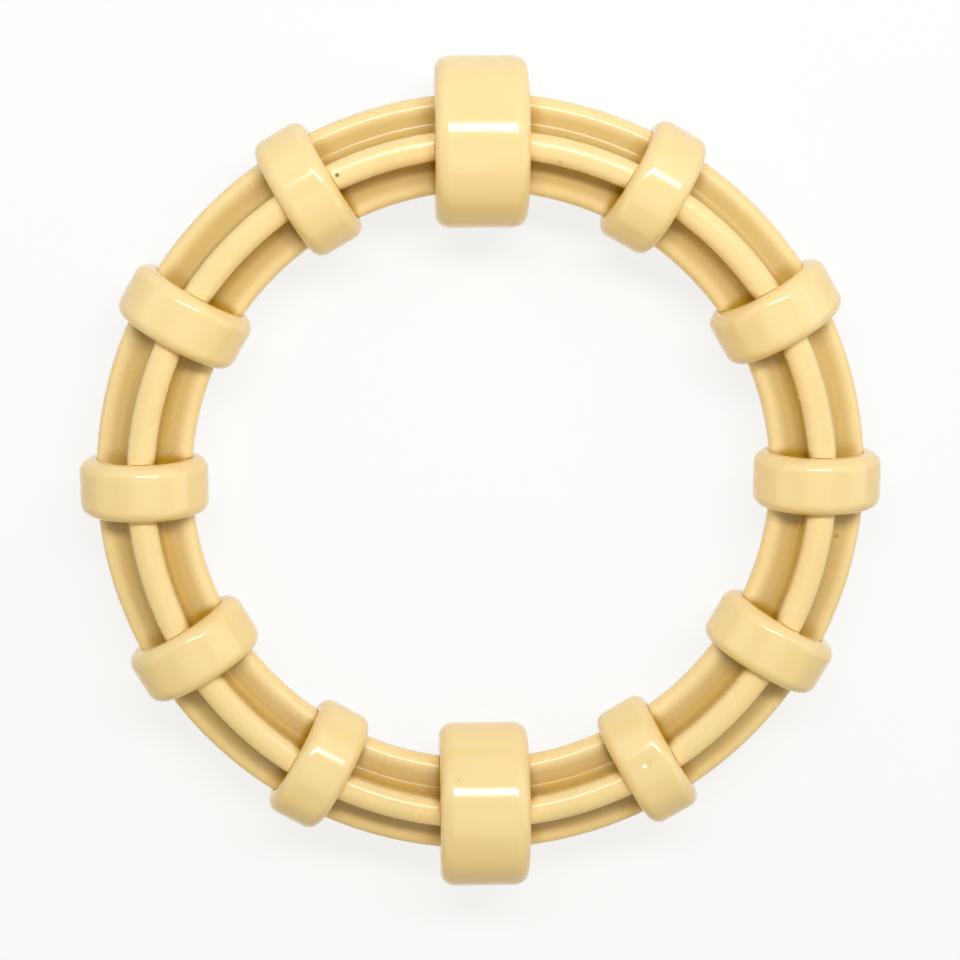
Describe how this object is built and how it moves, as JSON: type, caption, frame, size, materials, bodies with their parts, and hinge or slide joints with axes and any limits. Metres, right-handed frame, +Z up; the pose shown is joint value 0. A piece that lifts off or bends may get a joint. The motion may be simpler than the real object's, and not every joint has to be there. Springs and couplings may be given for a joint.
{
  "type": "ring chew toy",
  "caption": "Closed ring chew toy of cross-shaped bar, threaded with narrow round collars and joined by wide barrel couplings.",
  "frame": {"origin": "middle of the ring, halfway up its bar", "axes": "+Z up out of the ring's plane, +Y from the ring's middle to the back coupling, +X to the right-hand collar"},
  "size_m": [0.1332, 0.1396, 0.0276],
  "materials": {
    "cream_rubber": "glossy moulded cream rubber, smooth, with light wear"
  },
  "bodies": {
    "root": {"left_half_ring": "cream_rubber", "right_half_ring": "cream_rubber", "back_coupling": "cream_rubber", "front_coupling": "cream_rubber", "collar_1_oclock": "cream_rubber", "collar_2_oclock": "cream_rubber", "collar_3_oclock": "cream_rubber", "collar_4_oclock": "cream_rubber", "collar_5_oclock": "cream_rubber", "collar_7_oclock": "cream_rubber", "collar_8_oclock": "cream_rubber", "collar_9_oclock": "cream_rubber", "collar_10_oclock": "cream_rubber", "collar_11_oclock": "cream_rubber"}
  },
  "joints": []
}
